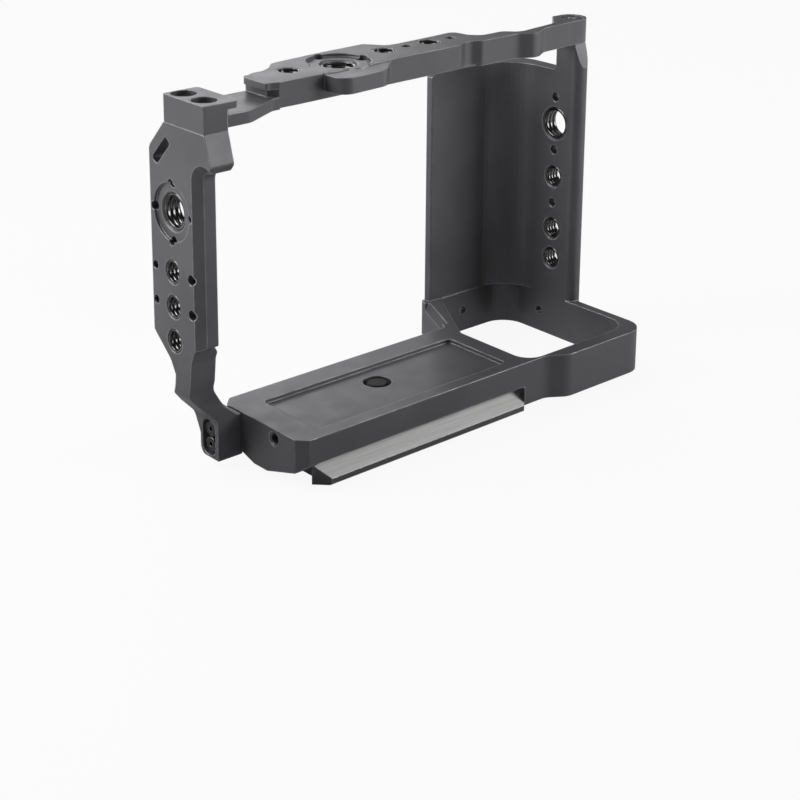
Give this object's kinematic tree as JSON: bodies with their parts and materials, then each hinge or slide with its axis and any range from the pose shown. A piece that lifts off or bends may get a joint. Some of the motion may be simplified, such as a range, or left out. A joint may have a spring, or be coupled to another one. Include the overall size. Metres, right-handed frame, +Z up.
{
  "type": "camera cage",
  "caption": "Half-open metal camera cage: dovetail base with a deep grip ring and curved grip wall, threaded top bar with cold shoe, and threaded left side plate.",
  "frame": {"origin": "middle of the whole part's footprint, in the plane of the dovetail rail's underside", "axes": "+X along the width from the side plate towards the grip wall, +Y from the near edge towards the far edge, +Z up"},
  "size_m": [0.159, 0.0632, 0.1096],
  "materials": {
    "anodised_base": "dark grey bead-blasted anodising, bright machined dovetail",
    "anodised_bar": "dark grey bead-blasted anodising",
    "anodised_plate": "dark grey bead-blasted anodising",
    "black_screws": "black oxide, semi-matt",
    "bright_screw": "bright turned steel",
    "camera_screw_steel": "turned steel, black oxide",
    "nylon": "natural nylon",
    "insert_steel": "wound wire, darkened"
  },
  "bodies": {
    "cage": {"base_and_grip_wall": "anodised_base", "top_bar": "anodised_bar", "left_side_plate": "anodised_plate", "block_screws": "black_screws", "foot_screws": "black_screws", "bar_end_screw": "bright_screw", "insert_38_left": "insert_steel", "insert_38_top": "insert_steel", "insert_38_wall": "insert_steel", "insert_14_left_1": "insert_steel", "insert_14_left_2": "insert_steel", "insert_14_left_3": "insert_steel", "insert_14_top_1": "insert_steel", "insert_14_top_2": "insert_steel", "insert_14_top_3": "insert_steel", "insert_14_wall_1": "insert_steel", "insert_14_wall_2": "insert_steel", "insert_14_wall_3": "insert_steel"},
    "screw_washer": {"camera_screw_washer": "nylon"},
    "screw": {"camera_screw": "camera_screw_steel"}
  },
  "joints": [
    {"name": "screw_lift", "type": "slide", "parent": "cage", "child": "screw_washer", "axis": [0, 0, 1], "range_m": [0, 0.0045]},
    {"name": "screw_turn", "type": "hinge", "parent": "screw_washer", "child": "screw", "pos_m": [-0.01585, -0.00705, 0.004], "axis": [0, 0, 1], "continuous": true}
  ]
}
